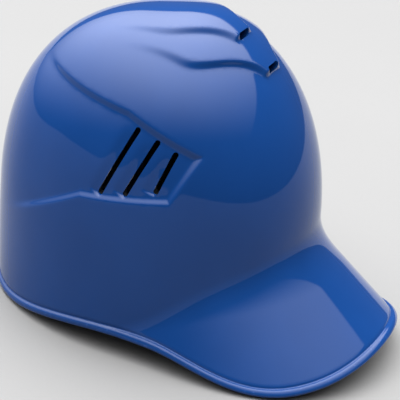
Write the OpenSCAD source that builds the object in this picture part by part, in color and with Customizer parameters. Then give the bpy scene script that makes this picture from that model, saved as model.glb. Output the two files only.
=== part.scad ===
// Batting helmet without ear flaps: one moulded shell with an integral brim,
// bonded foam blocks inside it and comfort pads held on by hook-and-loop patches.
// Frame: +Z up, brim toward -Y, wearer's right toward -X, the rim rests on Z = 0.

/* [Shell size] */
// half of the shell's width across the ears
half_width = 102; // [96:1:108]
// from the middle of the shell to the foot of its front wall
front_half = 105; // [100:1:110]
// from the middle of the shell to its rear wall
rear_half = 117; // [112:1:122]
// from the widest level up to the crown
crown_height = 129.5; // [120:0.5:134]
// from the widest level down to the table the rim rests on
skirt_height = 76; // [72:1:82]
// how far the crown sits behind the middle of the rim
crown_lean = 11; // [7:0.5:13]
// plastic wall
wall = 4; // [3.5:0.1:4.5]

/* [Brim and rim] */
// reach of the brim beyond the front wall
brim_reach = 62.4; // [58:0.2:68]
// slope of the brim's middle below level
brim_slope = 36.1; // [32:0.1:40]
// half of the arc of the head the brim springs from
brim_arc = 58.4; // [54:0.2:62]
// rise of the rim over the ears
ear_rise = 15.7; // [10:0.1:18]
// rise of the brim's edge in the middle
brim_arch = 26.2; // [20:0.2:28]
// concave round where the brim leaves the wall
brim_root_round = 14; // [10:0.5:16]
// how far the rolled bead stands out
bead_out = 1.7; // [1.2:0.1:2.2]
// height of the rolled bead
bead_high = 5; // [4:0.5:6]

/* [Vents] */
// depth of the wing-shaped side recess
recess_depth = 2.2; // [1.5:0.1:2.4]
// width of each side slot
slot_width = 3.6; // [3:0.1:3.9]
// height of the front end of each raised crown chevron
chevron_height = 3.4; // [2.8:0.1:4.4]
// width of the vent at the tip of a chevron
tip_vent_width = 18; // [14:0.5:20]
// height of the vent at the tip of a chevron
tip_vent_height = 4.6; // [3:0.2:5]

/* [Foam blocks] */
// thickness of the bonded foam blocks
liner_thickness = 8; // [7:0.5:9]
// air channel between neighbouring blocks, as degrees of the head
liner_gap = 7; // [5:0.5:9]

/* [Comfort pads] */
// thickness of a comfort pad in its middle
pad_thickness = 8; // [7:0.5:9]
// thickness of one hook or loop patch
patch_thickness = 0.9; // [0.7:0.1:1.1]

/* [Hidden] */
clearance = 0.35;
mid_half = (front_half + rear_half) / 2;
half_shift = (front_half - rear_half) / 2;
liner_out = wall + 0.4;
liner_in = liner_out + liner_thickness;
hook_out = liner_in + clearance;
hook_in = hook_out + patch_thickness;
loop_out = hook_in + clearance;
loop_in = loop_out + patch_thickness;
pad_out = loop_in + clearance;
rest_pivot = 95;
rest_tilt = 1.13;
rest_lift = 0.39;
step_u = 0.4;
step_w = 0.004;

// ---- shape of the head shell -------------------------------------------------
// u is the compass angle round the head in degrees, 0 at the brim, + to the left.
// w runs down the surface: 0 crown, 1 the widest level, 2 the rim.
function ease(t) = let(c = min(1, max(0, t))) c * c * c * (c * (6 * c - 15) + 10);
function mix(a, b, t) = a + (b - a) * t;
function squarish(u) = 1 + 0.01 * pow(sin(2 * u), 2);
function plan_x(u) = half_width * squarish(u) * sin(u) * (1 - 0.03 * cos(u));
function plan_y(u) = -(mid_half + half_shift * cos(u)) * squarish(u) * cos(u);
function ear_lift(a) = ear_rise * ease((a - 33.4) / 44.9) * ease((151.8 - a) / 73.8);
function edge_z(u) = -skirt_height + ear_lift(abs(u)) + brim_arch * exp(-pow(abs(u) / 33.9, 2.18));
function brim_share(u) = exp(-pow(abs(u) / brim_arc, 3.45));
// how far the brim falls for each millimetre that it reaches out, more toward its corners
function brim_fall(u) = tan(brim_slope) + 0.094 * pow(abs(u) / 20, 2.15);
function fullness(u, w) = 1 + (0.03 + 0.045 * pow(sin(u), 2)) * pow(sin(180 * w), 2);
function level(u, w) = w <= 1
    ? crown_height * cos(90 * w) * fullness(u, w)
    : edge_z(u) * (w - 1);
function spread(u, w) = w <= 1
    ? sin(90 * w) * fullness(u, w)
    : 1 - 0.015 * pow(edge_z(u) * (w - 1) / 60, 2);
function core(u, w) = let(z = level(u, w), s = spread(u, w))
    [plan_x(u) * s, plan_y(u) * s + crown_lean * z / crown_height, z + skirt_height];
// the brim flares out of the wall through a concave round
function flare(u, z) = let(
    reach = brim_reach * brim_share(u),
    q = edge_z(u) + reach * brim_fall(u) - z,
    r = brim_root_round * pow(brim_share(u), 1 / 3) + 0.001)
    (q <= -r ? 0 : q >= r ? q : (q + r) * (q + r) / (4 * r)) / brim_fall(u);
function skin(u, w) = let(p = core(u, w), f = flare(u, p[2] - skirt_height),
    x = plan_x(u), y = plan_y(u), n = sqrt(x * x + y * y))
    p + f * [x / n, y / n, 0];
function unit(v) = v / norm(v);
function core_normal(u, w) = let(v = max(w, 0.012))
    unit(cross(core(u + step_u, v) - core(u - step_u, v), core(u, v - step_w) - core(u, v + step_w)));
function skin_normal(u, w) = let(v = min(max(w, 0.012), 2 - step_w))
    unit(cross(skin(u + step_u, v) - skin(u - step_u, v), skin(u, v - step_w) - skin(u, v + step_w)));
function core_at(u, w, depth) = core(u, w) - depth * core_normal(u, w);

// ---- moulded relief ------------------------------------------------------------
// how far p lies to the left of the line from a to b
function left_of(p, a, b) = let(d = unit(b - a)) d[0] * (p[1] - a[1]) - d[1] * (p[0] - a[0]);
// wing-shaped recess on each side: distance inside its outline, seen in the Y-Z plane
function wing_inside(p) = min(
    max(-left_of(p, [27, 104], [-30.6, 114.6]), -left_of(p, [92, 63], [27, 104])),
    -left_of(p, [-30.6, 114.6], [-41.3, 143.6]),
    -left_of(p, [-41.3, 143.6], [8, 161]),
    -left_of(p, [8, 161], [70, 167]));
function wing(p) = -recess_depth * ease(wing_inside([p[1], p[2]]) / 6 + 0.5)
    * ease((95 - p[1]) / 45) * ease((abs(p[0]) - 25) / 25);
// two nested chevrons on the crown, the upper one standing on the lower one
function low_half(y) = 11 + 44 * ease((y + 64) / 58);
function high_half(y) = 12 + 27 * ease((y + 38) / 56);
function chevron(p, half, tip, tail) = chevron_height * ease((tail - p[1]) / 70)
    * ease((half - abs(p[0])) / 8 + 0.5) * ease((p[1] - tip) / 4 + 0.5);
function relief(p) = wing(p)
    + chevron(p, low_half(p[1]), -54, 40)
    + chevron(p, high_half(p[1]), -29, 52);
function outer(u, w) = let(p = skin(u, w)) p + relief(p) * skin_normal(u, w);

// ---- surfaces as closed meshes ---------------------------------------------------
// faces of a stack of rings closed by a point at each end; ring points run with u
function stack_faces(rings, cols) = let(last = rings * cols + 1) [
    for (i = [0 : cols - 1]) [0, 1 + (i + 1) % cols, 1 + i],
    for (k = [0 : rings - 2], i = [0 : cols - 1])
        let(a = 1 + k * cols + i, b = 1 + k * cols + (i + 1) % cols) [a, b, b + cols],
    for (k = [0 : rings - 2], i = [0 : cols - 1])
        let(a = 1 + k * cols + i, b = 1 + k * cols + (i + 1) % cols) [a, b + cols, a + cols],
    for (i = [0 : cols - 1])
        [last, 1 + (rings - 1) * cols + i, 1 + (rings - 1) * cols + (i + 1) % cols]];
// compass angles, closer together over the ears where the recess is
half_turn = concat([0, 7, 14, 21, 27, 32, 36.5, 40.5, 44, 47], [for (a = [50 : 2.8 : 125.6]) a],
                   [for (a = [131 : 5.5 : 175]) a]);
compass = concat(half_turn, [180], [for (i = [len(half_turn) - 1 : -1 : 1]) -half_turn[i]]);
half_turn_inside = concat([0, 10, 20, 28, 34, 38.5, 42.5, 46, 49.5, 53, 57, 62], [for (a = [69 : 8.5 : 171]) a]);
coarse = concat(half_turn_inside, [180],
                [for (i = [len(half_turn_inside) - 1 : -1 : 1]) -half_turn_inside[i]]);
// w of a point that lies s above the edge of the rim
function above_edge(u, s) = 2 - s / (-edge_z(u)
    * mix(1, sqrt(1 + 1 / pow(brim_fall(u), 2)), min(1, 4 * brim_share(u))));
// rolled bead: [height above the edge, distance out of the skin]
bead = [[7.4, 0], [6.2, -0.3], [1.04 * bead_high, 0.2], [0.88 * bead_high, 0.7 * bead_out],
        [0.66 * bead_high, bead_out], [0.3 * bead_high, bead_out], [0.1 * bead_high, 0.7 * bead_out],
        [0, 0.2], [0, -0.5 * wall], [0.02, 0.1 - wall]];
function bead_point(u, b) = let(w = above_edge(u, b[0])) skin(u, w) + b[1] * skin_normal(u, w);
dome_rows = concat([0.04, 0.09], [for (i = [0 : 17]) 0.14 + 0.034 * i],
                   [for (i = [0 : 4]) 0.77 + 0.056 * i]);
function wall_row(u, t) = mix(1, above_edge(u, 9.5), t);
wall_steps = [0.14, 0.28, 0.42, 0.56, 0.68, 0.79, 0.9, 1];

// the whole helmet tips forward a little until its rim rests on the table
module seated() {
    translate([0, rest_pivot, rest_lift]) rotate([rest_tilt, 0, 0]) translate([0, -rest_pivot, 0])
        children();
}

module outer_solid() {
    points = concat([outer(0, 0)],
        [for (w = dome_rows, u = compass) outer(u, w)],
        [for (t = wall_steps, u = compass) outer(u, wall_row(u, t))],
        [for (b = bead, u = compass) bead_point(u, b)],
        [[0, 0, 118]]);
    polyhedron(points, stack_faces(len(dome_rows) + len(wall_steps) + len(bead), len(compass)));
}

function inner(u, w) = skin(u, w) - wall * skin_normal(u, w);
function past_edge(u) = inner(u, 2) + 9 * unit(inner(u, 2) - inner(u, 1.96));
module inner_solid() {
    rows = [0.06, 0.13, 0.2, 0.27, 0.34, 0.41, 0.48, 0.56, 0.64, 0.72, 0.8, 0.88, 0.96, 1.03];
    points = concat([inner(0, 0)],
        [for (w = rows, u = coarse) inner(u, w)],
        [for (t = [0.28, 0.56, 0.68, 0.79, 0.9, 1], u = coarse) inner(u, wall_row(u, t))],
        [for (u = coarse) inner(u, above_edge(u, 4.5))],
        [for (u = coarse) inner(u, 2)],
        [for (u = coarse) past_edge(u)],
        [[0, 0, -60]]);
    polyhedron(points, stack_faces(len(rows) + 9, len(coarse)));
}

// ---- vents -----------------------------------------------------------------------
// three slanted slots on each side: [foot, head] as [y, z]
slots = [[[13.5, 109.1], [-0.6, 152.6]], [[-2.7, 112.6], [-14.6, 148]], [[-21.2, 118.5], [-27, 143]]];
module side_slot(ends, grow) {
    hull() for (e = ends) translate([0, e[0], e[1]])
        rotate([0, 90, 0])
            cylinder(d = slot_width + grow, h = 130, $fn = 20);
}
module tip_vent(y, z, tilt) {
    reach = (tip_vent_width - tip_vent_height) / 2;
    hull() for (x = [-reach, reach]) translate([x, y, z])
        rotate([tilt, 0, 0])
            cylinder(d = tip_vent_height, h = 26, center = true, $fn = 20);
}
module shell() {
    color([0.07, 0.17, 0.45])
        seated() difference() {
            outer_solid();
            inner_solid();
            for (ends = slots) side_slot(ends, 0);
            mirror([1, 0, 0]) for (ends = slots) side_slot(ends, 0);
            tip_vent(-56.3, 188, 50);
            tip_vent(-31.3, 203, 48);
        }
}

// ---- blocks, pads and patches that follow the inside of the shell --------------------
// a closed block between two depths; rounding pulls its four corners in
function block_faces(n, m) = let(c = m + 1, k = (n + 1) * c) [
    for (i = [0 : n - 1], j = [0 : m - 1]) each [
        [i * c + j, (i + 1) * c + j, (i + 1) * c + j + 1],
        [i * c + j, (i + 1) * c + j + 1, i * c + j + 1],
        [k + i * c + j, k + (i + 1) * c + j + 1, k + (i + 1) * c + j],
        [k + i * c + j, k + i * c + j + 1, k + (i + 1) * c + j + 1]],
    for (i = [0 : n - 1]) each [
        [i * c, k + (i + 1) * c, (i + 1) * c],
        [i * c, k + i * c, k + (i + 1) * c],
        [i * c + m, (i + 1) * c + m, k + (i + 1) * c + m],
        [i * c + m, k + (i + 1) * c + m, k + i * c + m]],
    for (j = [0 : m - 1]) each [
        [j, j + 1, k + j + 1],
        [j, k + j + 1, k + j],
        [n * c + j, k + n * c + j + 1, n * c + j + 1],
        [n * c + j, k + n * c + j, k + n * c + j + 1]]];
function spot(a, s, t, r) = [
    mix(a[0], a[1], 0.5 + 0.5 * s * (1 - r * pow(t, 4))),
    mix(a[2], a[3], 0.5 + 0.5 * t * (1 - r * pow(s, 4)))];
// a = [first u, last u, upper w, lower w]
module block(a, out, thick, rim_share, r, n, m) {
    grid = [for (i = [0 : n], j = [0 : m]) [2 * i / n - 1, 2 * j / m - 1]];
    points = concat(
        [for (g = grid) let(q = spot(a, g[0], g[1], r)) core_at(q[0], q[1], out)],
        [for (g = grid) let(q = spot(a, g[0], g[1], r * 1.15),
            full = (1 - pow(g[0], 4)) * (1 - pow(g[1], 4)))
            core_at(mix(a[0] / 2 + a[1] / 2, q[0], 0.97), mix(a[2] / 2 + a[3] / 2, q[1], 0.97),
                    out + thick * mix(rim_share, 1, full))]);
    polyhedron(points, block_faces(n, m));
}
// a round cap-shaped block under the crown
module cap_block(radius, notch, out, thick, rim_share, rings, cols) {
    turn = [for (i = [0 : cols - 1]) 360 * i / cols - 180];
    function limit(u) = radius - notch * exp(-pow(u / 27, 2));
    points = concat([core_at(0, 0, out)],
        [for (k = [1 : rings], u = turn) core_at(u, limit(u) * k / rings, out)],
        [for (k = [rings : -1 : 1], u = turn)
            core_at(u, limit(u) * 0.97 * k / rings, out + thick * mix(rim_share, 1, 1 - pow(k / rings, 4)))],
        [core_at(0, 0, out + thick)]);
    polyhedron(points, stack_faces(2 * rings, cols));
}

foam = [0.09, 0.09, 0.10];
cloth = [0.13, 0.13, 0.14];
hook_tape = [0.05, 0.05, 0.05];
loop_tape = [0.18, 0.18, 0.19];
g = liner_gap / 2;

module liner_front() {
    color(foam) seated() block([-46 + g, 46 - g, 0.53, 1.1], liner_out, liner_thickness, 0.8, 0.05, 12, 7);
}
module liner_rear() {
    color(foam) seated() block([122 + g, 238 - g, 0.47, 1.88], liner_out, liner_thickness, 0.8, 0.04, 14, 12);
}
module side_liner() {
    difference() {
        block([46 + g, 122 - g, 0.47, 1.84], liner_out, liner_thickness, 0.8, 0.04, 10, 12);
        for (ends = slots) side_slot(ends, 2.4);
    }
}
module liner_left() {
    color(foam) seated() side_liner();
}
module liner_right() {
    color(foam) seated() mirror([1, 0, 0]) side_liner();
}
module liner_crown() {
    color(foam) seated() cap_block(0.4, 0.15, liner_out, liner_thickness, 0.8, 5, 28);
}

// where each comfort pad lies: [first u, last u, upper w, lower w]
front_area = [-36, 36, 0.8, 1.09];
side_area = [62, 106, 1.02, 1.7];
rear_area = [130, 170, 0.96, 1.72];
function patch_area(a) = [
    mix(a[0], a[1], 0.24), mix(a[0], a[1], 0.76), mix(a[2], a[3], 0.22), mix(a[2], a[3], 0.78)];
module pad(a) {
    color(cloth) seated() block(a, pad_out, pad_thickness, 0.45, 0.1, 10, 8);
}
module hook(a) {
    color(hook_tape) seated() block(patch_area(a), hook_out, patch_thickness, 1, 0, 6, 3);
}
module loop(a) {
    color(loop_tape) seated() block(patch_area(a), loop_out, patch_thickness, 1, 0, 6, 3);
}
module pad_front() {
    pad(front_area);
}
module pad_left() {
    pad(side_area);
}
module pad_right() {
    mirror([1, 0, 0]) pad(side_area);
}
module pad_rear_left() {
    pad(rear_area);
}
module pad_rear_right() {
    mirror([1, 0, 0]) pad(rear_area);
}
module pad_crown() {
    color(cloth) seated() cap_block(0.27, 0, pad_out, pad_thickness, 0.45, 5, 24);
}
module hook_front() {
    hook(front_area);
}
module hook_left() {
    hook(side_area);
}
module hook_right() {
    mirror([1, 0, 0]) hook(side_area);
}
module hook_rear_left() {
    hook(rear_area);
}
module hook_rear_right() {
    mirror([1, 0, 0]) hook(rear_area);
}
module hook_crown() {
    color(hook_tape) seated() cap_block(0.14, 0, hook_out, patch_thickness, 1, 2, 20);
}
module loop_front() {
    loop(front_area);
}
module loop_left() {
    loop(side_area);
}
module loop_right() {
    mirror([1, 0, 0]) loop(side_area);
}
module loop_rear_left() {
    loop(rear_area);
}
module loop_rear_right() {
    mirror([1, 0, 0]) loop(rear_area);
}
module loop_crown() {
    color(loop_tape) seated() cap_block(0.14, 0, loop_out, patch_thickness, 1, 2, 20);
}

shell();
liner_front();
liner_rear();
liner_left();
liner_right();
liner_crown();
pad_front();
pad_rear_left();
pad_rear_right();
pad_left();
pad_right();
pad_crown();
hook_front();
hook_rear_left();
hook_rear_right();
hook_left();
hook_right();
hook_crown();
loop_front();
loop_rear_left();
loop_rear_right();
loop_left();
loop_right();
loop_crown();
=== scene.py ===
import math

import bmesh
import bpy
import numpy as np
from mathutils import Matrix, Vector


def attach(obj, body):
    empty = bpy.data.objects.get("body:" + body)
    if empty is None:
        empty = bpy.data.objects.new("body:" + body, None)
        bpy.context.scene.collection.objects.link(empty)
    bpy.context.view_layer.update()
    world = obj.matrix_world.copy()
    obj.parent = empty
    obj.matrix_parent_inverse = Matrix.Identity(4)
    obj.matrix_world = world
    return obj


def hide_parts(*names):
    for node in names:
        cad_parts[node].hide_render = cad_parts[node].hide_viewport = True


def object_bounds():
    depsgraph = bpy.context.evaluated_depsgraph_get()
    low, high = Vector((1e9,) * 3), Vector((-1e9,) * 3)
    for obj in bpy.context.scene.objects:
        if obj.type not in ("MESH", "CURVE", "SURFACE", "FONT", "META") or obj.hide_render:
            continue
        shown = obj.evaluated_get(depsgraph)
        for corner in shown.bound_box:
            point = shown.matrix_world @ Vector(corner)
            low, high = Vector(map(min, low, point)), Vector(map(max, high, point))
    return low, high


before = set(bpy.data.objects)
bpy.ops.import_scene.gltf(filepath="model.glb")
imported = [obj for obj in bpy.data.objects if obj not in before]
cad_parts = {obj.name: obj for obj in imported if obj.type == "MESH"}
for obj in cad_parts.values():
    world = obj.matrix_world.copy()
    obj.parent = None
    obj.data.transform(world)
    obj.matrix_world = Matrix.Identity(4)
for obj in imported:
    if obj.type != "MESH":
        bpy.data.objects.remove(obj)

cad_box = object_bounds()

# ------------------------------------------------------------------ the head form
# The smooth form that the mould, the foam and the pads are all cut to. "turn" is the
# compass angle round the head in degrees, 0 at the brim and + to the wearer's left;
# "down" runs down the surface, 0 at the crown, 1 at the widest level, 2 at the rim.
# All lengths are in millimetres until a piece is finished.
HALF_WIDTH, MID_HALF, HALF_SHIFT = 102.0, 111.0, -6.0
CROWN_HEIGHT, SKIRT_HEIGHT, CROWN_LEAN = 129.5, 76.0, 11.0
# the rim rises over each ear, between these turns, and in the middle of the brim
EAR_RISE, EAR_START, EAR_CLIMB, EAR_END, EAR_DROP = 15.7, 33.4, 44.9, 151.8, 73.8
BRIM_ARCH, ARCH_TURN, ARCH_POWER = 26.2, 33.9, 2.18
# how square the plan is, how it narrows in front, and how full the dome is
SQUARENESS, FRONT_NARROWING = 0.01, 0.03
FULLNESS, EAR_FULLNESS, TUCK = 0.03, 0.045, 0.015
TURN_STEP, DOWN_STEP = 0.4, 0.004


def sin_of(degrees):
    return np.sin(np.radians(degrees))


def cos_of(degrees):
    return np.cos(np.radians(degrees))


def ease(t):
    t = np.clip(t, 0.0, 1.0)
    return t ** 3 * (t * (6 * t - 15) + 10)


def mix(a, b, t):
    return a + (b - a) * t


def plan(turn):
    square = 1 + SQUARENESS * sin_of(2 * turn) ** 2
    return (HALF_WIDTH * square * sin_of(turn) * (1 - FRONT_NARROWING * cos_of(turn)),
            -(MID_HALF + HALF_SHIFT * cos_of(turn)) * square * cos_of(turn))


def rim_level(turn):
    a = np.abs(turn)
    over_ear = ease((a - EAR_START) / EAR_CLIMB) * ease((EAR_END - a) / EAR_DROP)
    return (-SKIRT_HEIGHT + EAR_RISE * over_ear
            + BRIM_ARCH * np.exp(-(a / ARCH_TURN) ** ARCH_POWER))


def head(turn, down):
    swell = 1 + (FULLNESS + EAR_FULLNESS * sin_of(turn) ** 2) * sin_of(180 * down) ** 2
    drop = rim_level(turn) * (down - 1)
    z = np.where(down <= 1, CROWN_HEIGHT * cos_of(90 * down) * swell, drop)
    spread = np.where(down <= 1, sin_of(90 * down) * swell, 1 - TUCK * (drop / 60) ** 2)
    x, y = plan(turn)
    return np.stack([x * spread, y * spread + CROWN_LEAN * z / CROWN_HEIGHT,
                     z + SKIRT_HEIGHT], -1)


def facing(surface, turn, down):
    """The outward direction of a surface, from small steps across it."""
    down = np.clip(down, 0.012, 2 - DOWN_STEP)
    across = surface(turn + TURN_STEP, down) - surface(turn - TURN_STEP, down)
    up = surface(turn, down - DOWN_STEP) - surface(turn, down + DOWN_STEP)
    out = np.cross(across, up)
    return out / np.linalg.norm(out, axis=-1, keepdims=True)


# ------------------------------------------------------------------------- SHELL
# The shell and its brim are one injection moulding in glossy ABS, 4 mm thick.
# The mould gives it the wing-shaped side recess with louvred slots, the two raised
# chevrons on the crown with a vent at each tip, and the rolled bead round the rim.
WALL = 4.0
BRIM_REACH, BRIM_ARC, BRIM_ROOT = 62.4, 58.4, 14.0
# the brim's fall for each millimetre of reach: in the middle, and added toward its corners
BRIM_SLOPE, CORNER_SLOPE = 0.73, 0.094
# corners of the side recess as (Y, Z), from its tail along the foot and back over the top
RECESS_DEPTH = 2.2
WING_TAIL, WING_BELLY, WING_FOOT = (92, 63), (27, 104), (-30.6, 114.6)
WING_NOSE, WING_SHOULDER, WING_END = (-41.3, 143.6), (8, 161), (70, 167)
# crown chevrons: half width at the tip, spread behind it, where that starts, over how
# far, then the tip and the tail as Y
CHEVRON_HEIGHT = 3.4
CHEVRONS = [(11, 44, -64, 58, -54, 40), (12, 27, -38, 56, -29, 52)]
SLOT_WIDTH = 3.6
SLOTS = [((13.5, 109.1), (-0.6, 152.6)), ((-2.7, 112.6), (-14.6, 148)),
         ((-21.2, 118.5), (-27, 143))]
LOUVRE_SINK, LOUVRE_RUN = 1.3, 11.0
TIP_VENTS = [(-56.3, 188, 50), (-31.3, 203, 48)]
TIP_VENT_WIDTH, TIP_VENT_HEIGHT = 18.0, 4.6
# rolled bead: height above the edge of the rim, distance out of the skin
BEAD = [(7.4, 0), (6.9, -.10), (6.4, -.30), (6.0, -.38), (5.6, -.28), (5.25, .05), (5.0, .45),
        (4.7, .90), (4.3, 1.28), (3.8, 1.55), (3.2, 1.68), (2.5, 1.72), (1.8, 1.68),
        (1.2, 1.56), (.7, 1.34), (.35, 1.0), (.1, .5), (0, -.1), (0, -.9), (0, -1.8),
        (0, -2.7), (.08, -3.4), (.4, -3.8), (1.0, -WALL)]
# rows of the flat pattern: outside dome, outside wall, bead, inside wall, inside dome
ROWS = (96, 46, len(BEAD) - 1, 14, 18)
COLUMNS, FINEST_STEP = 300, 0.32
# share of the columns used up to each compass angle: close over the brim and the ears
COLUMN_SHARE, COLUMN_TURN = (0, 0.36, 0.80, 1), (0, 50, 126, 180)


def brim_share(turn):
    return np.exp(-(np.abs(turn) / BRIM_ARC) ** 3.45)


def brim_fall(turn):
    """How far the brim falls for each millimetre that it reaches out."""
    return BRIM_SLOPE + CORNER_SLOPE * (np.abs(turn) / 20) ** 2.15


def skin(turn, down):
    """The head form with the brim flaring out of it through a concave round."""
    p = head(turn, down)
    share, fall = brim_share(turn), brim_fall(turn)
    over = rim_level(turn) + BRIM_REACH * share * fall - (p[..., 2] - SKIRT_HEIGHT)
    r = BRIM_ROOT * share ** (1 / 3) + 0.001
    flare = np.where(over <= -r, 0, np.where(over >= r, over, (over + r) ** 2 / (4 * r)))
    x, y = plan(turn)
    span = np.hypot(x, y)
    p[..., 0] += flare / fall * x / span
    p[..., 1] += flare / fall * y / span
    return p


def left_of(y, z, a, b):
    length = math.hypot(b[0] - a[0], b[1] - a[1])
    return ((b[0] - a[0]) * (z - a[1]) - (b[1] - a[1]) * (y - a[0])) / length


def wing(x, y, z):
    """The side recess, deepest inside its outline and fading out toward the back."""
    inside = np.maximum(-left_of(y, z, WING_BELLY, WING_FOOT),
                        -left_of(y, z, WING_TAIL, WING_BELLY))
    for a, b in [(WING_FOOT, WING_NOSE), (WING_NOSE, WING_SHOULDER), (WING_SHOULDER, WING_END)]:
        inside = np.minimum(inside, -left_of(y, z, a, b))
    return (-RECESS_DEPTH * ease(inside / 6 + 0.5) * ease((95 - y) / 45)
            * ease((np.abs(x) - 25) / 25))


def louvres(x, y, z):
    """Behind each side slot the wall sinks toward the slot and stops at its foot."""
    sink = np.zeros_like(y)
    for foot, top in SLOTS:
        length = math.hypot(top[0] - foot[0], top[1] - foot[1])
        along = ((y - foot[0]) * (top[0] - foot[0])
                 + (z - foot[1]) * (top[1] - foot[1])) / length
        behind = -left_of(y, z, foot, top)
        sink += (ease((LOUVRE_RUN - behind) / LOUVRE_RUN) * ease((behind + 1.2) / 1.2)
                 * ease((along + 3.0) / 2.2) * ease((length + 4 - along) / 16))
    return -LOUVRE_SINK * sink * ease((np.abs(x) - 60) / 10)


def chevron(x, y, tip_half, spread, start, run, tip, tail):
    half = tip_half + spread * ease((y - start) / run)
    return (CHEVRON_HEIGHT * ease((tail - y) / 70) * ease((half - np.abs(x)) / 8 + 0.5)
            * ease((y - tip) / 4 + 0.5))


def relief(p):
    x, y, z = p[..., 0], p[..., 1], p[..., 2]
    return sum((chevron(x, y, *shape) for shape in CHEVRONS),
               wing(x, y, z) + louvres(x, y, z))


def above_edge(turn, height):
    """How far down a point lies that is this high above the edge of the rim."""
    steep = mix(1, np.sqrt(1 + 1 / brim_fall(turn) ** 2), np.minimum(1, 4 * brim_share(turn)))
    return 2 - height / (-rim_level(turn) * steep)


def on_pattern(sheet):
    """Turn, down, distance out and which face, for points of the flat pattern."""
    turn = np.sign(sheet[:, 0]) * np.interp(np.abs(sheet[:, 0]), COLUMN_SHARE, COLUMN_TURN)
    row = (sheet[:, 1] + 1) / 2 * sum(ROWS)
    turn[(row < 0.001) | (row > sum(ROWS) - 0.001)] = 0
    dome, wall, bead, inner_wall, inner_dome = np.cumsum(ROWS)
    heights, outs = np.transpose(BEAD)
    bead_row = np.arange(len(BEAD)) + wall
    in_bead = above_edge(turn, np.interp(row, bead_row, heights))
    down = np.select(
        [row <= dome, row <= wall, row <= bead, row <= inner_wall],
        [row / dome, mix(1, above_edge(turn, heights[0]), (row - dome) / ROWS[1]), in_bead,
         mix(above_edge(turn, heights[-1]), 1, (row - bead) / ROWS[3])],
        (inner_dome - row) / ROWS[4])
    out = np.interp(row, bead_row, outs)
    return turn, down, out, row


def outer_face(row):
    return row < sum(ROWS[:2])


sheet_of_shell = bmesh.new()
bmesh.ops.create_grid(sheet_of_shell, x_segments=COLUMNS, y_segments=sum(ROWS), size=1.0)
# the pattern is cut finer wherever the relief changes within a face
for finer in range(2):
    turn, down, out, row = on_pattern(np.array([v.co[:2] for v in sheet_of_shell.verts]))
    height = np.where(outer_face(row), relief(skin(turn, down)), 0)
    sheet_of_shell.verts.index_update()
    steps = [f for f in sheet_of_shell.faces
             if np.ptp([height[v.index] for v in f.verts]) > FINEST_STEP]
    bmesh.ops.subdivide_edges(sheet_of_shell, edges=list({e for f in steps for e in f.edges}),
                              cuts=1, use_grid_fill=True)
turn, down, out, row = on_pattern(np.array([v.co[:2] for v in sheet_of_shell.verts]))
laid = skin(turn, down)
out = out + np.where(outer_face(row), relief(laid), 0)
laid = laid + out[:, None] * facing(skin, turn, down)
inner = sheet_of_shell.verts.layers.float.new("inner_face")
near_rim = sheet_of_shell.verts.layers.float.new("near_rim")
for v, place, r in zip(sheet_of_shell.verts, laid, row):
    v.co = place
    v[inner] = float(np.clip((r - sum(ROWS[:3]) + 3) / 3, 0, 1))
    v[near_rim] = float(np.clip(1 - abs(r - sum(ROWS[:2]) - 11) / 11, 0, 1))
bmesh.ops.remove_doubles(sheet_of_shell, verts=sheet_of_shell.verts, dist=0.005)
bmesh.ops.recalc_face_normals(sheet_of_shell, faces=sheet_of_shell.faces)


# the helmet tips forward a little until its rim rests on the floor
REST_PIVOT, REST_LIFT, REST_TILT = 95, 0.39, 1.13
TO_METRES = Matrix.Scale(0.001, 4)
SEATED = (TO_METRES @ Matrix.Translation((0, REST_PIVOT, REST_LIFT))
          @ Matrix.Rotation(math.radians(REST_TILT), 4, "X")
          @ Matrix.Translation((0, -REST_PIVOT, 0)))


def finished(bm, name, place=SEATED):
    """A piece's object, brought from millimetres to metres and to its place."""
    bmesh.ops.transform(bm, matrix=place, verts=bm.verts)
    mesh = bpy.data.meshes.new(name)
    bm.to_mesh(mesh)
    bm.free()
    piece = bpy.data.objects.new(name, mesh)
    bpy.context.scene.collection.objects.link(piece)
    mesh.shade_smooth()
    return piece


def keep_modified(piece):
    """Makes what the modifiers have done the piece's own mesh."""
    bpy.context.view_layer.update()
    whole = piece.evaluated_get(bpy.context.evaluated_depsgraph_get())
    kept = bpy.data.meshes.new_from_object(whole)
    piece.modifiers.clear()
    piece.data = kept


def cut_through(piece, cutter):
    """Takes the cutter out of the piece for good, and throws the cutter away."""
    cut = piece.modifiers.new("cut", "BOOLEAN")
    cut.operation, cut.solver, cut.object = "DIFFERENCE", "EXACT", cutter
    keep_modified(piece)
    bpy.data.objects.remove(cutter)


def stadium(bm, half_straight, width, half_deep, frame_to_place):
    """A round-ended bar: a circle drawn out along X, extruded along Z, put in place."""
    ring = bmesh.ops.create_circle(bm, cap_ends=True, segments=28, radius=width / 2,
                                   matrix=Matrix.Rotation(math.pi / 28, 4, "Z"))["verts"]
    for v in ring:
        v.co += Vector((math.copysign(half_straight, v.co.x), 0, -half_deep))
    cap = {f for v in ring for f in v.link_faces}
    grown = bmesh.ops.extrude_face_region(bm, geom=list(cap))["geom"]
    far = [v for v in grown if isinstance(v, bmesh.types.BMVert)]
    bmesh.ops.translate(bm, vec=(0, 0, 2 * half_deep), verts=far)
    bmesh.ops.transform(bm, matrix=frame_to_place, verts=ring + far)


def side_slots(grow):
    bm = bmesh.new()
    for foot, top in SLOTS:
        middle = ((foot[0] + top[0]) / 2, (foot[1] + top[1]) / 2)
        rise = (top[0] - foot[0], top[1] - foot[1])
        lean = math.atan2(rise[1], rise[0])
        place = (Matrix.Translation((0, *middle)) @ Matrix.Rotation(lean, 4, "X")
                 @ Matrix(((0, 0, 1, 0), (1, 0, 0, 0), (0, 1, 0, 0), (0, 0, 0, 1))))
        stadium(bm, math.hypot(*rise) / 2, SLOT_WIDTH + grow, 130, place)
    return bm


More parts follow.
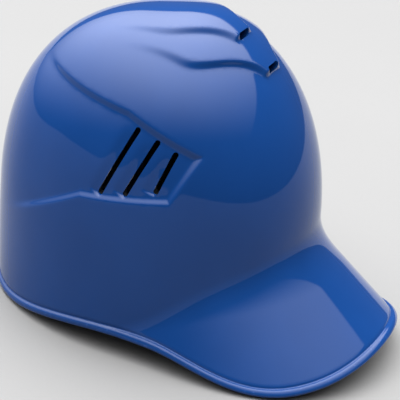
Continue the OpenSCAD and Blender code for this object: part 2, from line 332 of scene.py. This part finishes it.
shell = finished(sheet_of_shell, "shell_moulding")
vents = side_slots(0)
for y, z, tilt in TIP_VENTS:
    place = Matrix.Translation((0, y, z)) @ Matrix.Rotation(math.radians(tilt), 4, "X")
    stadium(vents, (TIP_VENT_WIDTH - TIP_VENT_HEIGHT) / 2, TIP_VENT_HEIGHT, 13, place)
bmesh.ops.recalc_face_normals(vents, faces=vents.faces)
cut_through(shell, finished(vents, "vent_cutter"))
shell.data.shade_smooth()
shell.data.set_sharp_from_angle(angle=math.radians(40))


class Signal:
    """One output inside a material's nodes; sums written with it become Math nodes."""

    def __init__(self, nodes, socket=None):
        self.nodes, self.socket = nodes, socket

    def node(self, kind, settings, sockets, output=0):
        """Adds a node: its settings first, then the values or links of its sockets."""
        made = self.nodes.nodes.new(kind)
        for name, value in settings.items():
            setattr(made, name, value)
        for name, value in sockets.items():
            if isinstance(value, Signal):
                self.nodes.links.new(value.socket, made.inputs[name])
            else:
                made.inputs[name].default_value = value
        return Signal(self.nodes, made.outputs[output])

    def maths(self, operation, *values):
        return self.node("ShaderNodeMath", {"operation": operation}, dict(enumerate(values)))

    def __add__(self, other):
        return self.maths("ADD", self, other)

    __radd__ = __add__

    def __sub__(self, other):
        return self.maths("SUBTRACT", self, other)

    def __rsub__(self, other):
        return self.maths("SUBTRACT", other, self)

    def __mul__(self, other):
        return self.maths("MULTIPLY", self, other)

    __rmul__ = __mul__

    def between(self, low, high):
        """0 below low, 1 above high, a smooth step between them."""
        return self.node("ShaderNodeMapRange", {"interpolation_type": "SMOOTHSTEP"},
                         {"Value": self, "From Min": low, "From Max": high})

    def blend(self, first, second):
        """The first colour where this is 0, the second where it is 1."""
        return self.node("ShaderNodeMix", {"data_type": "RGBA"},
                         {0: self, 6: first, 7: second}, output=2)


def colour(red, green, blue):
    return (red, green, blue, 1)


def finish_material(name, surface, height, **constants):
    """A Principled material: varying sockets, a height for its bump, and constants."""
    made = bpy.data.materials.new(name)
    made.use_nodes = True
    tree = made.node_tree
    shader = tree.nodes["Principled BSDF"]
    start = Signal(tree)
    for socket, value in constants.items():
        shader.inputs[socket.replace("_", " ")].default_value = value
    for socket, value in surface(start).items():
        tree.links.new(value.socket, shader.inputs[socket])
    amount, rough_height = height
    bump = start.node("ShaderNodeBump", {}, {"Strength": 1.0, "Distance": amount,
                                             "Height": rough_height(start)})
    tree.links.new(bump.socket, shader.inputs["Normal"])
    return made


def place_on(start, scale=(1, 1, 1)):
    spot = start.node("ShaderNodeTexCoord", {}, {}, output="Object")
    return start.node("ShaderNodeMapping", {}, {"Vector": spot, "Scale": scale})


def noise(start, scale, detail=2.0, stretch=(1, 1, 1)):
    return start.node("ShaderNodeTexNoise", {"noise_dimensions": "3D"},
                      {"Vector": place_on(start, stretch), "Scale": scale, "Detail": detail})


def own(start, name):
    return start.node("ShaderNodeAttribute", {"attribute_name": name}, {}, output="Fac")


def shell_surface(start):
    inside, rim = own(start, "inner_face"), own(start, "near_rim")
    cloud = noise(start, 14, 3)
    body = cloud.between(0.3, 0.7).blend(colour(0.0036, 0.031, 0.136),
                                         colour(0.0042, 0.035, 0.152))
    scuff = noise(start, 420, 4).between(0.62, 0.72) * rim * 0.35
    worn = scuff.blend(body, colour(0.05, 0.10, 0.30))
    hairs = noise(start, 60, 6, (9, 1, 1)).between(0.55, 0.75)
    return {"Base Color": inside.blend(worn, colour(0.004, 0.020, 0.096)),
            "Roughness": inside * 0.38 + hairs * 0.02 + scuff * 0.25 + 0.045}


def shell_grain(start):
    peel = noise(start, 260, 1) * 0.06
    return peel + own(start, "inner_face") * noise(start, 2600, 2)


blue_plastic = finish_material("blue_gloss_plastic", shell_surface, (0.00006, shell_grain),
                               IOR=1.32)
shell.data.materials.clear()
shell.data.materials.append(blue_plastic)
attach(shell, "helmet")
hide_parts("shell")

# ------------------------------------------------------------------- FOAM BLOCKS
# Five blocks of dense black bead foam line the shell and take the blow. Each is moulded
# to the head form with shallow channels on its inner face, and bonded to the shell.
LINER_OUT, LINER_THICK, LINER_RIM = 4.4, 8.0, 0.8
CHANNEL_DEPTH, CHANNEL_HALF = 1.3, 2.2
# the slots go on through the side blocks, this much wider
SLOT_CLEARANCE = 2.4
EDGE_ROUND, PATCH_ROUND = 0.0011, 0.00025
BEADS_PER_METRE = 330.0


def at_depth(turn, down, depth):
    return head(turn, down) - depth[..., None] * facing(head, turn, down)


def brick(cuts):
    """A cube from -1 to 1, cut into a grid on each pair of its faces."""
    bm = bmesh.new()
    bmesh.ops.create_cube(bm, size=2.0)
    for axis, count in enumerate(cuts):
        along = [e for e in bm.edges
                 if abs(abs((e.verts[0].co - e.verts[1].co)[axis]) - 2) < 0.001]
        bmesh.ops.subdivide_edges(bm, edges=along, cuts=count, use_grid_fill=True)
    return bm


def coords(bm):
    return np.array([v.co[:] for v in bm.verts])


def lay_in_shell(bm, area, depth_of, pull_in, shrink=0.97):
    """Moves a brick onto the head form: X goes round, Y goes down, Z goes inward."""
    s, t, k = coords(bm).T
    deep = (k + 1) / 2
    pull = pull_in * mix(1, 1.15, deep)
    narrow = mix(1, shrink, deep)
    turn = mix(area[0], area[1], 0.5 + 0.5 * narrow * s * (1 - pull * t ** 4))
    down = mix(area[2], area[3], 0.5 + 0.5 * narrow * t * (1 - pull * s ** 4))
    for v, place in zip(bm.verts, at_depth(turn, down, depth_of(s, t, deep))):
        v.co = place
    bmesh.ops.recalc_face_normals(bm, faces=bm.faces)


def channels(s, t, size, lines_s, lines_t):
    """Depth of the shallow grooves that divide a block, at a place on its face."""
    deep = np.zeros_like(s)
    for line in lines_s:
        deep = np.maximum(deep, np.exp(-((s - line) * size[0] / 2 / CHANNEL_HALF) ** 4))
    for line in lines_t:
        deep = np.maximum(deep, np.exp(-((t - line) * size[1] / 2 / CHANNEL_HALF) ** 4))
    return CHANNEL_DEPTH * deep


def foam_surface(start):
    beads = start.node("ShaderNodeTexVoronoi", {"feature": "DISTANCE_TO_EDGE"},
                       {"Vector": place_on(start), "Scale": BEADS_PER_METRE})
    bead_tone = start.node("ShaderNodeTexVoronoi", {},
                           {"Vector": place_on(start), "Scale": BEADS_PER_METRE},
                           output="Color")
    tone = start.node("ShaderNodeSeparateColor", {}, {"Color": bead_tone}, output="Red")
    dark, pale = colour(0.012, 0.012, 0.013), colour(0.030, 0.030, 0.032)
    skin_tone = (beads.between(0.0, 0.12) * (tone * 0.6 + 0.4)).blend(dark, pale)
    dust = noise(start, 35, 5).between(0.45, 0.75) * 0.4
    return {"Base Color": dust.blend(skin_tone, colour(0.045, 0.045, 0.047)),
            "Roughness": 0.92 - beads.between(0.0, 0.2) * 0.22}


def foam_height(start):
    beads = start.node("ShaderNodeTexVoronoi", {"feature": "DISTANCE_TO_EDGE"},
                       {"Vector": place_on(start), "Scale": BEADS_PER_METRE})
    return beads.between(0.0, 0.15) + noise(start, 1900, 2) * 0.25


black_foam = finish_material("black_bead_foam", foam_surface, (0.00022, foam_height),
                             IOR=1.45, Specular_IOR_Level=0.3)


def round_off(piece, width, segments, angle):
    """Rounds a piece's sharp edges and keeps the result."""
    edge = piece.modifiers.new("round", "BEVEL")
    edge.width, edge.segments, edge.limit_method = width, segments, "ANGLE"
    edge.angle_limit = math.radians(angle)
    keep_modified(piece)
    piece.data.shade_smooth()


def foam_block(name, area, size, cuts, lines_s, lines_t, slotted=False):
    bm = brick((*cuts, 1))

    def depth(s, t, deep):
        full = (1 - s ** 4) * (1 - t ** 4)
        thick = LINER_THICK * mix(LINER_RIM, 1, full)
        return LINER_OUT + deep * (thick - channels(s, t, size, lines_s, lines_t))

    lay_in_shell(bm, area, depth, 0.05)
    block = finished(bm, "foam_" + name)
    if slotted:
        cutter = side_slots(SLOT_CLEARANCE)
        bmesh.ops.recalc_face_normals(cutter, faces=cutter.faces)
        cut_through(block, finished(cutter, "slot_cutter"))
    round_off(block, EDGE_ROUND, 2, 55)
    block.data.materials.clear()
    block.data.materials.append(black_foam)
    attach(block, "helmet")
    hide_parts("liner_" + name)


foam_block("front", (-42.5, 42.5, 0.53, 1.1), (150, 100), (58, 40), (-0.42, 0.42), (0.0,))
foam_block("rear", (125.5, 234.5, 0.47, 1.88), (200, 160), (76, 62), (-0.5, 0, 0.5), (-0.3, 0.4))
foam_block("left", (49.5, 118.5, 0.47, 1.84), (120, 150), (50, 60), (0.0,), (0.45,), True)
foam_block("right", (-49.5, -118.5, 0.47, 1.84), (120, 150), (50, 60), (0.0,), (0.45,), True)


def cap_disc(bm, rings, spokes):
    """A round brick: two circles of grid faces joined at their edge."""
    bmesh.ops.create_circle(bm, cap_ends=False, segments=spokes, radius=1.0)
    rim = list(bm.edges)
    for ring in range(rings - 1):
        inward = bmesh.ops.extrude_edge_only(bm, edges=rim)["geom"]
        rim = [e for e in inward if isinstance(e, bmesh.types.BMEdge)]
        points = list({v for e in rim for v in e.verts})
        share = (rings - 1 - ring) / (rings - ring)
        bmesh.ops.scale(bm, vec=(share, share, 1), verts=points)
    bmesh.ops.contextual_create(bm, geom=rim)
    bmesh.ops.poke(bm, faces=[f for f in bm.faces if len(f.verts) > 4])
    top = bmesh.ops.duplicate(bm, geom=bm.verts[:] + bm.edges[:] + bm.faces[:])["geom"]
    top_points = [v for v in top if isinstance(v, bmesh.types.BMVert)]
    bmesh.ops.translate(bm, vec=(0, 0, 1), verts=top_points)
    open_edges = [e for e in bm.edges if len(e.link_faces) == 1]
    bmesh.ops.bridge_loops(bm, edges=open_edges)


def lay_cap(bm, radius, notch, depth_of):
    """Moves a round brick under the crown; a notch pulls its front edge back."""
    x, y, deep = coords(bm).T
    share, turn = np.hypot(x, y), np.degrees(np.arctan2(x, -y))
    limit = radius - notch * np.exp(-(turn / 27) ** 2)
    down = limit * share * mix(1, 0.97, deep)
    for v, place in zip(bm.verts, at_depth(turn, down, depth_of(share, x, y, deep))):
        v.co = place
    bmesh.ops.recalc_face_normals(bm, faces=bm.faces)


crown_foam = bmesh.new()
cap_disc(crown_foam, 22, 96)


def crown_foam_depth(share, x, y, deep):
    thick = LINER_THICK * mix(LINER_RIM, 1, 1 - share ** 4)
    return LINER_OUT + deep * (thick - channels(x, y, (150, 150), (-0.35, 0.35), (0.0,)))


lay_cap(crown_foam, 0.4, 0.15, crown_foam_depth)
crown_block = finished(crown_foam, "foam_crown")
round_off(crown_block, EDGE_ROUND, 2, 55)
crown_block.data.materials.append(black_foam)
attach(crown_block, "helmet")
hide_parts("liner_crown")

# ---------------------------------------------------------- HOOK AND LOOP PATCHES
# Each comfort pad is held by two woven nylon patches: stiff hooks bonded to the foam
# block, and soft loops sewn to the back of the pad. Both are cut with round corners.
HOOK_OUT, LOOP_OUT, PATCH_THICK = 12.75, 14.0, 0.9
# where each pad lies: first and last turn, upper and lower down
FRONT_AREA, SIDE_AREA = (-36, 36, 0.8, 1.09), (62, 106, 1.02, 1.7)
REAR_AREA = (130, 170, 0.96, 1.72)
CROWN_REACH, CROWN_PATCH_REACH = 0.27, 0.14
HOOKS_PER_METRE = 900.0
PADS = [("front", "brow_pad", FRONT_AREA, 1), ("left", "side_pad_left", SIDE_AREA, 1),
        ("right", "side_pad_right", SIDE_AREA, -1), ("rear_left", "nape_pad_left", REAR_AREA, 1),
        ("rear_right", "nape_pad_right", REAR_AREA, -1)]


def hook_surface(start):
    rows = start.node("ShaderNodeTexVoronoi", {},
                      {"Vector": place_on(start), "Scale": HOOKS_PER_METRE})
    tip = 1 - rows.between(0.15, 0.5)
    weave = noise(start, 500, 3)
    return {"Base Color": (tip * 0.8 + weave * 0.2).blend(colour(0.006, 0.006, 0.006),
                                                          colour(0.055, 0.055, 0.058)),
            "Roughness": 0.55 - tip * 0.2}


def hook_height(start):
    rows = start.node("ShaderNodeTexVoronoi", {},
                      {"Vector": place_on(start), "Scale": HOOKS_PER_METRE})
    return 1 - rows.between(0.1, 0.5)


def loop_surface(start):
    fuzz = noise(start, 1300, 6)
    tuft = noise(start, 260, 2)
    return {"Base Color": (fuzz * 0.7 + tuft * 0.3).between(0.3, 0.7)
            .blend(colour(0.012, 0.012, 0.013), colour(0.085, 0.085, 0.09)),
            "Roughness": 0.85 + fuzz * 0.15}


def loop_height(start):
    return noise(start, 1300, 6) + noise(start, 260, 2) * 0.8


hook_tape = finish_material("hook_tape", hook_surface, (0.0003, hook_height))
loop_tape = finish_material("loop_tape", loop_surface, (0.0003, loop_height),
                            Sheen_Weight=0.5, Sheen_Roughness=0.4)


def patch(name, area, side, out, material, body):
    middle = [mix(area[0], area[1], 0.24) * side, mix(area[0], area[1], 0.76) * side,
              mix(area[2], area[3], 0.22), mix(area[2], area[3], 0.78)]
    bm = brick((24, 14, 1))
    lay_in_shell(bm, middle, lambda s, t, deep: out + PATCH_THICK * deep, 0.06, 1.0)
    piece = finished(bm, name + "_patch")
    round_off(piece, PATCH_ROUND, 2, 50)
    piece.data.materials.append(material)
    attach(piece, body)
    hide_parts(name)


def crown_patch(name, out, material, body):
    bm = bmesh.new()
    cap_disc(bm, 8, 48)
    lay_cap(bm, CROWN_PATCH_REACH, 0, lambda share, x, y, deep: out + PATCH_THICK * deep)
    piece = finished(bm, name + "_patch")
    round_off(piece, PATCH_ROUND, 2, 50)
    piece.data.materials.append(material)
    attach(piece, body)
    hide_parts(name)


for name, body, area, side in PADS:
    patch("hook_" + name, area, side, HOOK_OUT, hook_tape, "helmet")
    patch("loop_" + name, area, side, LOOP_OUT, loop_tape, body)
crown_patch("hook_crown", HOOK_OUT, hook_tape, "helmet")
crown_patch("loop_crown", LOOP_OUT, loop_tape, "crown_pad")

# ------------------------------------------------------------------ COMFORT PADS
# Soft foam pads in a knitted cover, welded round the edge and along two channels.
# Each is made flat, swollen by its foam, then curved to lie inside the shell.
PAD_OUT, PAD_THICK = 15.25, 8.0
MAX_SWELL, VOXEL, PRESSURE, LAST_FRAME = 2.6, 0.0030, 4.0, 20
# share of the thickness at the pad's edge and in its middle, before it swells
EDGE_SHARE, MIDDLE_SHARE, FLAT_SHARE = 0.42, 0.86, 0.985
RIB, COURSE = 5.7, 4.2
WELD_INSET, WELD_HALF, WELD_DEEP = 5.5, 1.1, 1.1


def swollen(bm, name):
    """The flat pad, remeshed, blown up as cloth and smoothed, in millimetres."""
    pad = finished(bm, name, TO_METRES)
    even = pad.modifiers.new("even", "REMESH")
    even.mode, even.voxel_size = "VOXEL", VOXEL
    keep_modified(pad)
    before = np.array([v.co[:] for v in pad.data.vertices])
    cloth = pad.modifiers.new("swell", "CLOTH")
    cloth.settings.use_pressure = True
    cloth.settings.uniform_pressure_force = PRESSURE
    cloth.settings.effector_weights.gravity = 0
    for step in range(1, LAST_FRAME + 1):
        bpy.context.scene.frame_set(step)
    swelled = bpy.data.meshes.new_from_object(
        pad.evaluated_get(bpy.context.evaluated_depsgraph_get()))
    pad.modifiers.clear()
    pad.data = swelled
    bpy.context.scene.frame_set(1)
    moved = np.array([v.co[:] for v in pad.data.vertices]) - before
    far = np.linalg.norm(moved, axis=1, keepdims=True)
    moved *= np.minimum(1, MAX_SWELL / 1000 / np.maximum(far, 1e-9))
    pad.data.vertices.foreach_set("co", (before + moved).ravel())
    fine = pad.modifiers.new("fine", "SUBSURF")
    fine.levels = fine.render_levels = 1
    bpy.context.view_layer.update()
    bm = bmesh.new()
    bm.from_mesh(bpy.data.meshes.new_from_object(
        pad.evaluated_get(bpy.context.evaluated_depsgraph_get())))
    bpy.data.objects.remove(pad)
    bmesh.ops.scale(bm, vec=(1000,) * 3, verts=bm.verts)
    return bm


def stitches(start):
    """Ribs across courses of the knit, from -1 to 1, where each thread lay when flat."""
    lie = start.node("ShaderNodeAttribute", {"attribute_name": "cloth_lie"}, {}, output="Vector")
    across = start.node("ShaderNodeSeparateXYZ", {}, {"Vector": lie}, output="X")
    along = start.node("ShaderNodeSeparateXYZ", {}, {"Vector": lie}, output="Y")
    return start.maths("SINE", across * RIB) * start.maths("SINE", along * COURSE)


def pad_surface(start):
    knit = stitches(start) * 0.5 + 0.5
    fade = noise(start, 45, 4)
    yarn = knit.blend(colour(0.016, 0.016, 0.018), colour(0.060, 0.060, 0.065))
    worn = fade.between(0.35, 0.75) * 0.3
    return {"Base Color": worn.blend(yarn, colour(0.07, 0.07, 0.075)),
            "Roughness": 0.95 - knit * 0.2}


def pad_height(start):
    return stitches(start) + noise(start, 1500, 3) * 0.5


knit_cover = finish_material("knit_cover", pad_surface, (0.00018, pad_height),
                             Sheen_Weight=0.35, Sheen_Roughness=0.5, Specular_IOR_Level=0.25)


def weld(inset):
    return WELD_DEEP * np.exp(-((inset - WELD_INSET) / WELD_HALF) ** 2)


def dress(bm, name, body, wrap):
    """Keeps the flat place of each thread, curves the pad into the shell, covers it."""
    flat = coords(bm)
    lie = bm.verts.layers.float_vector.new("cloth_lie")
    for v, spot, place in zip(bm.verts, flat, wrap(flat)):
        v[lie] = Vector(spot)
        v.co = place
    bmesh.ops.recalc_face_normals(bm, faces=bm.faces)
    pad = finished(bm, "pad_" + name + "_cover")
    pad.data.materials.append(knit_cover)
    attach(pad, body)
    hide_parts("pad_" + name)


def flat_pad(area, name):
    """A flat pad of the size that its area of the head form measures."""
    turns, downs = np.array(area[:2], float), np.array(area[2:], float)
    middle = at_depth(np.linspace(*turns, 9), np.full(9, downs.mean()), np.full(9, PAD_OUT))
    upright = at_depth(np.full(9, turns.mean()), np.linspace(*downs, 9), np.full(9, PAD_OUT))
    size = [np.linalg.norm(np.diff(line, axis=0), axis=1).sum() / 2 for line in (middle, upright)]
    bm = brick((15, 11, 1))
    for v in bm.verts:
        s, t, k = v.co
        crowned = mix(EDGE_SHARE, MIDDLE_SHARE, (1 - s ** 4) * (1 - t ** 4))
        v.co = (s * size[0] * FLAT_SHARE * (1 - 0.10 * t ** 4),
                t * size[1] * FLAT_SHARE * (1 - 0.10 * s ** 4),
                (k + 1) / 2 * PAD_THICK * crowned)
    return swollen(bm, name), size


for stem, area, names in [("front", FRONT_AREA, [("front", "brow_pad", 1)]),
                          ("side", SIDE_AREA, [("left", "side_pad_left", 1),
                                               ("right", "side_pad_right", -1)]),
                          ("rear", REAR_AREA, [("rear_left", "nape_pad_left", 1),
                                               ("rear_right", "nape_pad_right", -1)])]:
    flat_one, size = flat_pad(area, "flat_" + stem)
    for name, body, side in names:

        def wrap(flat):
            x, y, z = flat.T
            s, t = x / size[0], y / size[1]
            inset = np.minimum(size[0] - np.abs(x), size[1] - np.abs(y))
            seam = weld(inset) + 0.8 * weld(WELD_INSET + np.abs(np.abs(x) - size[0] * 0.36))
            rise = np.clip(z, 0, PAD_THICK) - seam * ease((z - 2) / 3)
            turn = mix(area[0], area[1], 0.5 + 0.5 * np.clip(s, -1, 1))
            down = mix(area[2], area[3], 0.5 + 0.5 * np.clip(t, -1, 1))
            return at_depth(turn * side, down, PAD_OUT + rise)

        dress(flat_one.copy(), name, body, wrap)
    flat_one.free()

crown_flat = bmesh.new()
cap_disc(crown_flat, 12, 64)
CROWN_PAD_SPAN = 90 * math.radians(1) * CROWN_REACH * 118
for v in crown_flat.verts:
    share = math.hypot(v.co.x, v.co.y)
    v.co = (v.co.x * CROWN_PAD_SPAN * FLAT_SHARE, v.co.y * CROWN_PAD_SPAN * FLAT_SHARE,
            v.co.z * PAD_THICK * mix(EDGE_SHARE, MIDDLE_SHARE, 1 - share ** 4))


def wrap_crown(flat):
    x, y, z = flat.T
    span = np.hypot(x, y)
    seam = weld(CROWN_PAD_SPAN - span) + 0.8 * weld(WELD_INSET + np.abs(np.abs(x) - 14))
    rise = np.clip(z, 0, PAD_THICK) - seam * ease((z - 2) / 3)
    turn = np.degrees(np.arctan2(x, -y))
    return at_depth(turn, np.minimum(span / CROWN_PAD_SPAN, 1) * CROWN_REACH, PAD_OUT + rise)


dress(swollen(crown_flat, "flat_crown"), "crown", "crown_pad", wrap_crown)

# ------------------------------------------------------------- FLOOR AND LIGHTS
# A plain pale studio floor, and one broad softbox overhead that fades toward the back wall.
floor_sheet = bmesh.new()
bmesh.ops.create_grid(floor_sheet, x_segments=4, y_segments=4, size=9000)
bmesh.ops.translate(floor_sheet, vec=(0, 0, cad_box[0][2] * 1000), verts=floor_sheet.verts)
floor = finished(floor_sheet, "studio_floor", TO_METRES)


def floor_surface(start):
    return {"Base Color": noise(start, 3, 2).blend(colour(0.178, 0.178, 0.178),
                                                   colour(0.188, 0.188, 0.188))}


floor.data.materials.append(finish_material("pale_floor", floor_surface,
                                            (0.0001, lambda start: noise(start, 300, 2)),
                                            Roughness=0.7, Specular_IOR_Level=0.1))


# The studio is one broad softbox: bright overhead and behind, fading toward the camera's
# side, and cut off along a straight edge in front.
BOX_BACK, BOX_LEAN = (0.5, 0.866, 0.0), 0.3
BOX_EDGE = (-0.439, 0.369, 0.819)
BOX_DARK, BOX_POWER, BOX_CURVE, ROOM_GLOW = 0.2, 8.2, 1.6, 0.12
studio = bpy.data.worlds.new("studio")
studio.use_nodes = True
sky = Signal(studio.node_tree)


def toward(way, axis):
    return sky.node("ShaderNodeVectorMath", {"operation": "DOT_PRODUCT"},
                    {0: way, 1: axis}, output="Value")


way = sky.node("ShaderNodeTexCoord", {}, {}, output="Generated")
height = toward(way, (0, 0, 1)) + toward(way, BOX_BACK) * BOX_LEAN
glow = sky.maths("POWER", sky.maths("MAXIMUM", (height - BOX_DARK) * (1 / (1 - BOX_DARK)), 0),
                 BOX_CURVE)
front_edge = toward(way, BOX_EDGE).between(-0.012, 0.016)
strength = glow * front_edge * BOX_POWER + ROOM_GLOW
background = studio.node_tree.nodes["Background"]
background.inputs["Color"].default_value = colour(1, 1, 1)
studio.node_tree.links.new(strength.socket, background.inputs["Strength"])
bpy.context.scene.world = studio
bpy.context.scene.view_settings.view_transform = "Standard"

# ------------------------------------------------------------------------ CAMERA
# A long lens from the wearer's right and a little above, rolled with the head.
CAMERA_TURN, CAMERA_RISE, CAMERA_ROLL = -72.82, 23.57, 9.62
CAMERA_AWAY, LENS = 1.2, 159.1
LOOK_AT = (-0.0005, -0.0242, 0.0779)
turn, rise, roll = (math.radians(a) for a in (CAMERA_TURN, CAMERA_RISE, CAMERA_ROLL))
back = Vector((math.sin(turn) * math.cos(rise), -math.cos(turn) * math.cos(rise), math.sin(rise)))
right = Vector((math.cos(turn), math.sin(turn), 0))
up = back.cross(right)
rolled_right = right * math.cos(roll) + up * math.sin(roll)
rolled_up = up * math.cos(roll) - right * math.sin(roll)
camera_data = bpy.data.cameras.new("camera")
camera_data.lens, camera_data.sensor_width = LENS, 36.0
camera = bpy.data.objects.new("camera", camera_data)
bpy.context.scene.collection.objects.link(camera)
camera.matrix_world = Matrix.Translation(Vector(LOOK_AT) + back * CAMERA_AWAY) @ Matrix(
    (rolled_right, rolled_up, back)).transposed().to_4x4()
bpy.context.scene.camera = camera
